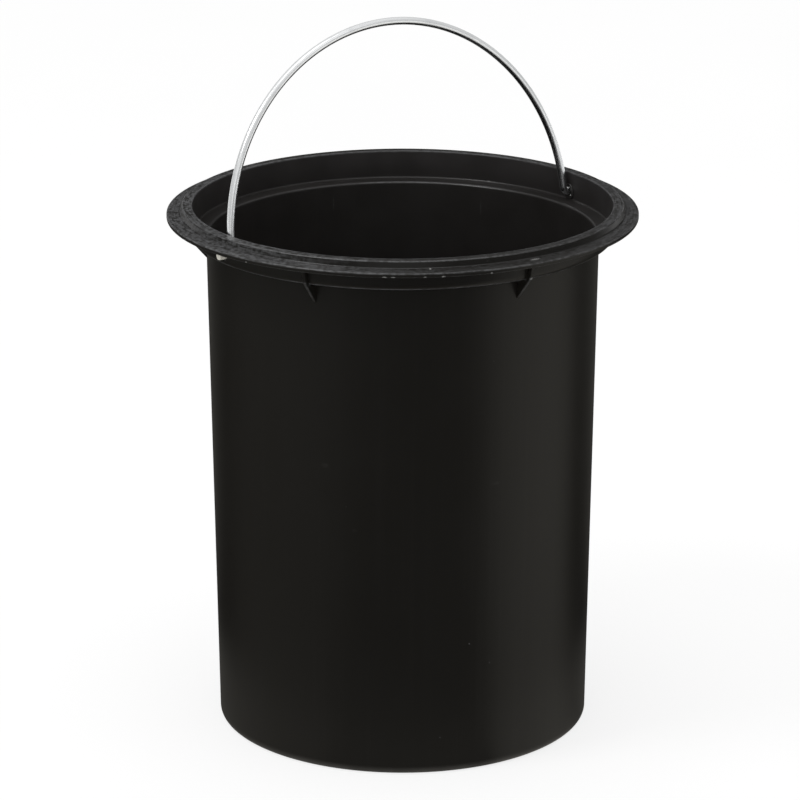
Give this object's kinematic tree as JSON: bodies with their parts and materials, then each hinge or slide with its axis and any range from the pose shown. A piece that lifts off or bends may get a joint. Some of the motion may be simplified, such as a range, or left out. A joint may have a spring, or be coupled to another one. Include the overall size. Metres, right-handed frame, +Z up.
{
  "type": "florist bucket",
  "caption": "Round plastic florist bucket with near-straight walls, a stepped collar, a gusseted flange and a folding wire bail.",
  "frame": {"origin": "centre of the base, on the plane of the foot ring that the bucket stands on", "axes": "+Z up along the tub's axis, X along the bail's swing axis, and the bail rests leaning towards +Y"},
  "size_m": [0.2706, 0.2706, 0.4126],
  "materials": {
    "tub_plastic": "satin black moulded polypropylene, slightly warm, scuffed grey on the rim",
    "bail_wire": "bright galvanised round wire"
  },
  "bodies": {
    "bucket_body": {"tub": "tub_plastic"},
    "bail_body": {"bail": "bail_wire"}
  },
  "joints": [
    {"name": "bail_swing", "type": "hinge", "parent": "bucket_body", "child": "bail_body", "pos_m": [0, 0, 0.297], "axis": [1, 0, 0], "range_deg": [-81, 100]}
  ]
}
